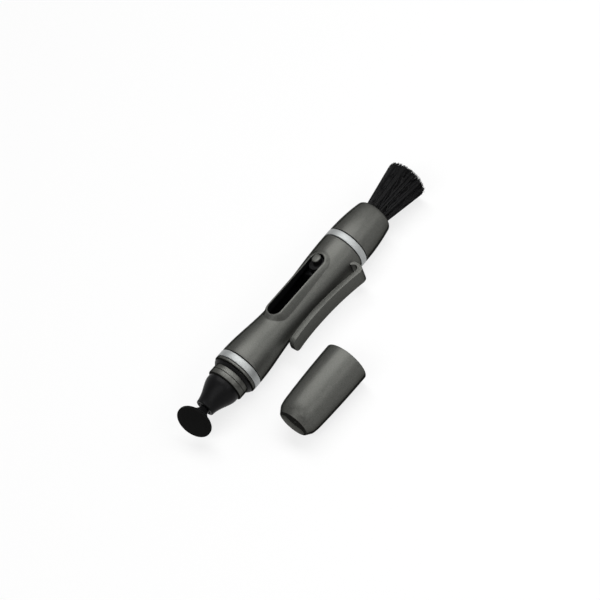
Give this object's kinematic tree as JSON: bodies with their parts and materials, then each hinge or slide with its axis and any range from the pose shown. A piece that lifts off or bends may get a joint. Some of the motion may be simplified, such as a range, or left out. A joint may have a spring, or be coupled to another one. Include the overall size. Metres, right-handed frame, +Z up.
{
  "type": "lens cleaning pen",
  "caption": "Pocket lens cleaning pen with a slide-out flared brush, a swivelling round cleaning tip, a pocket clip and its cap taken off beside it.",
  "frame": {"origin": "on the surface the pen and its cap lie on, under the middle of the box round them both", "axes": "+X along the pen from the cleaning tip to the brush, +Y away from the pocket clip, +Z up, the way the slider slot faces"},
  "size_m": [0.1161, 0.045, 0.0172],
  "materials": {
    "gunmetal": "gunmetal metallic paint on moulded plastic",
    "silver": "satin silver",
    "black": "satin black moulded plastic",
    "rubber": "matt black rubber",
    "chamois": "black chamois with carbon compound",
    "hair": "soft black hair",
    "nickel": "plain drawn tube",
    "foam": "black foam holding carbon powder"
  },
  "bodies": {
    "pen": {"barrel_tube": "gunmetal", "front_trim_ring": "silver", "rear_trim_ring": "silver", "brush_shroud": "gunmetal", "nose_collar": "gunmetal", "cap_seal_ring": "rubber", "nozzle_cone": "black", "ball_seat": "black"},
    "brush": {"brush_carriage": "black", "thumb_slider": "black", "brush_ferrule": "nickel", "bristles": "hair"},
    "tip": {"tip_stem": "rubber", "cleaning_pad": "chamois"},
    "clip": {"pocket_clip": "gunmetal"},
    "cap": {"cap_shell": "gunmetal", "carbon_cup": "black", "carbon_pad": "foam"}
  },
  "joints": [
    {"name": "brush_slide", "type": "slide", "parent": "pen", "child": "brush", "axis": [1, 0, 0], "range_m": [-0.0206, 0], "deforming": ["bristles"]},
    {"name": "tip_tilt", "type": "hinge", "parent": "pen", "child": "tip", "pos_m": [-0.04767, 0.0145, 0.008], "axis": [0, 0.7314, 0.682], "range_deg": [-46, 2]},
    {"name": "clip_flex", "type": "hinge", "parent": "pen", "child": "clip", "pos_m": [0.02072, 0.00657, 0.008], "axis": [0, 0, 1], "range_deg": [0, 6], "stiffness_Nm_per_rad": 1.2},
    {"name": "cap_slide", "type": "slide", "parent": "pen", "child": "cap", "axis": [-1, 0, 0], "range_m": [0, 0.06]}
  ]
}
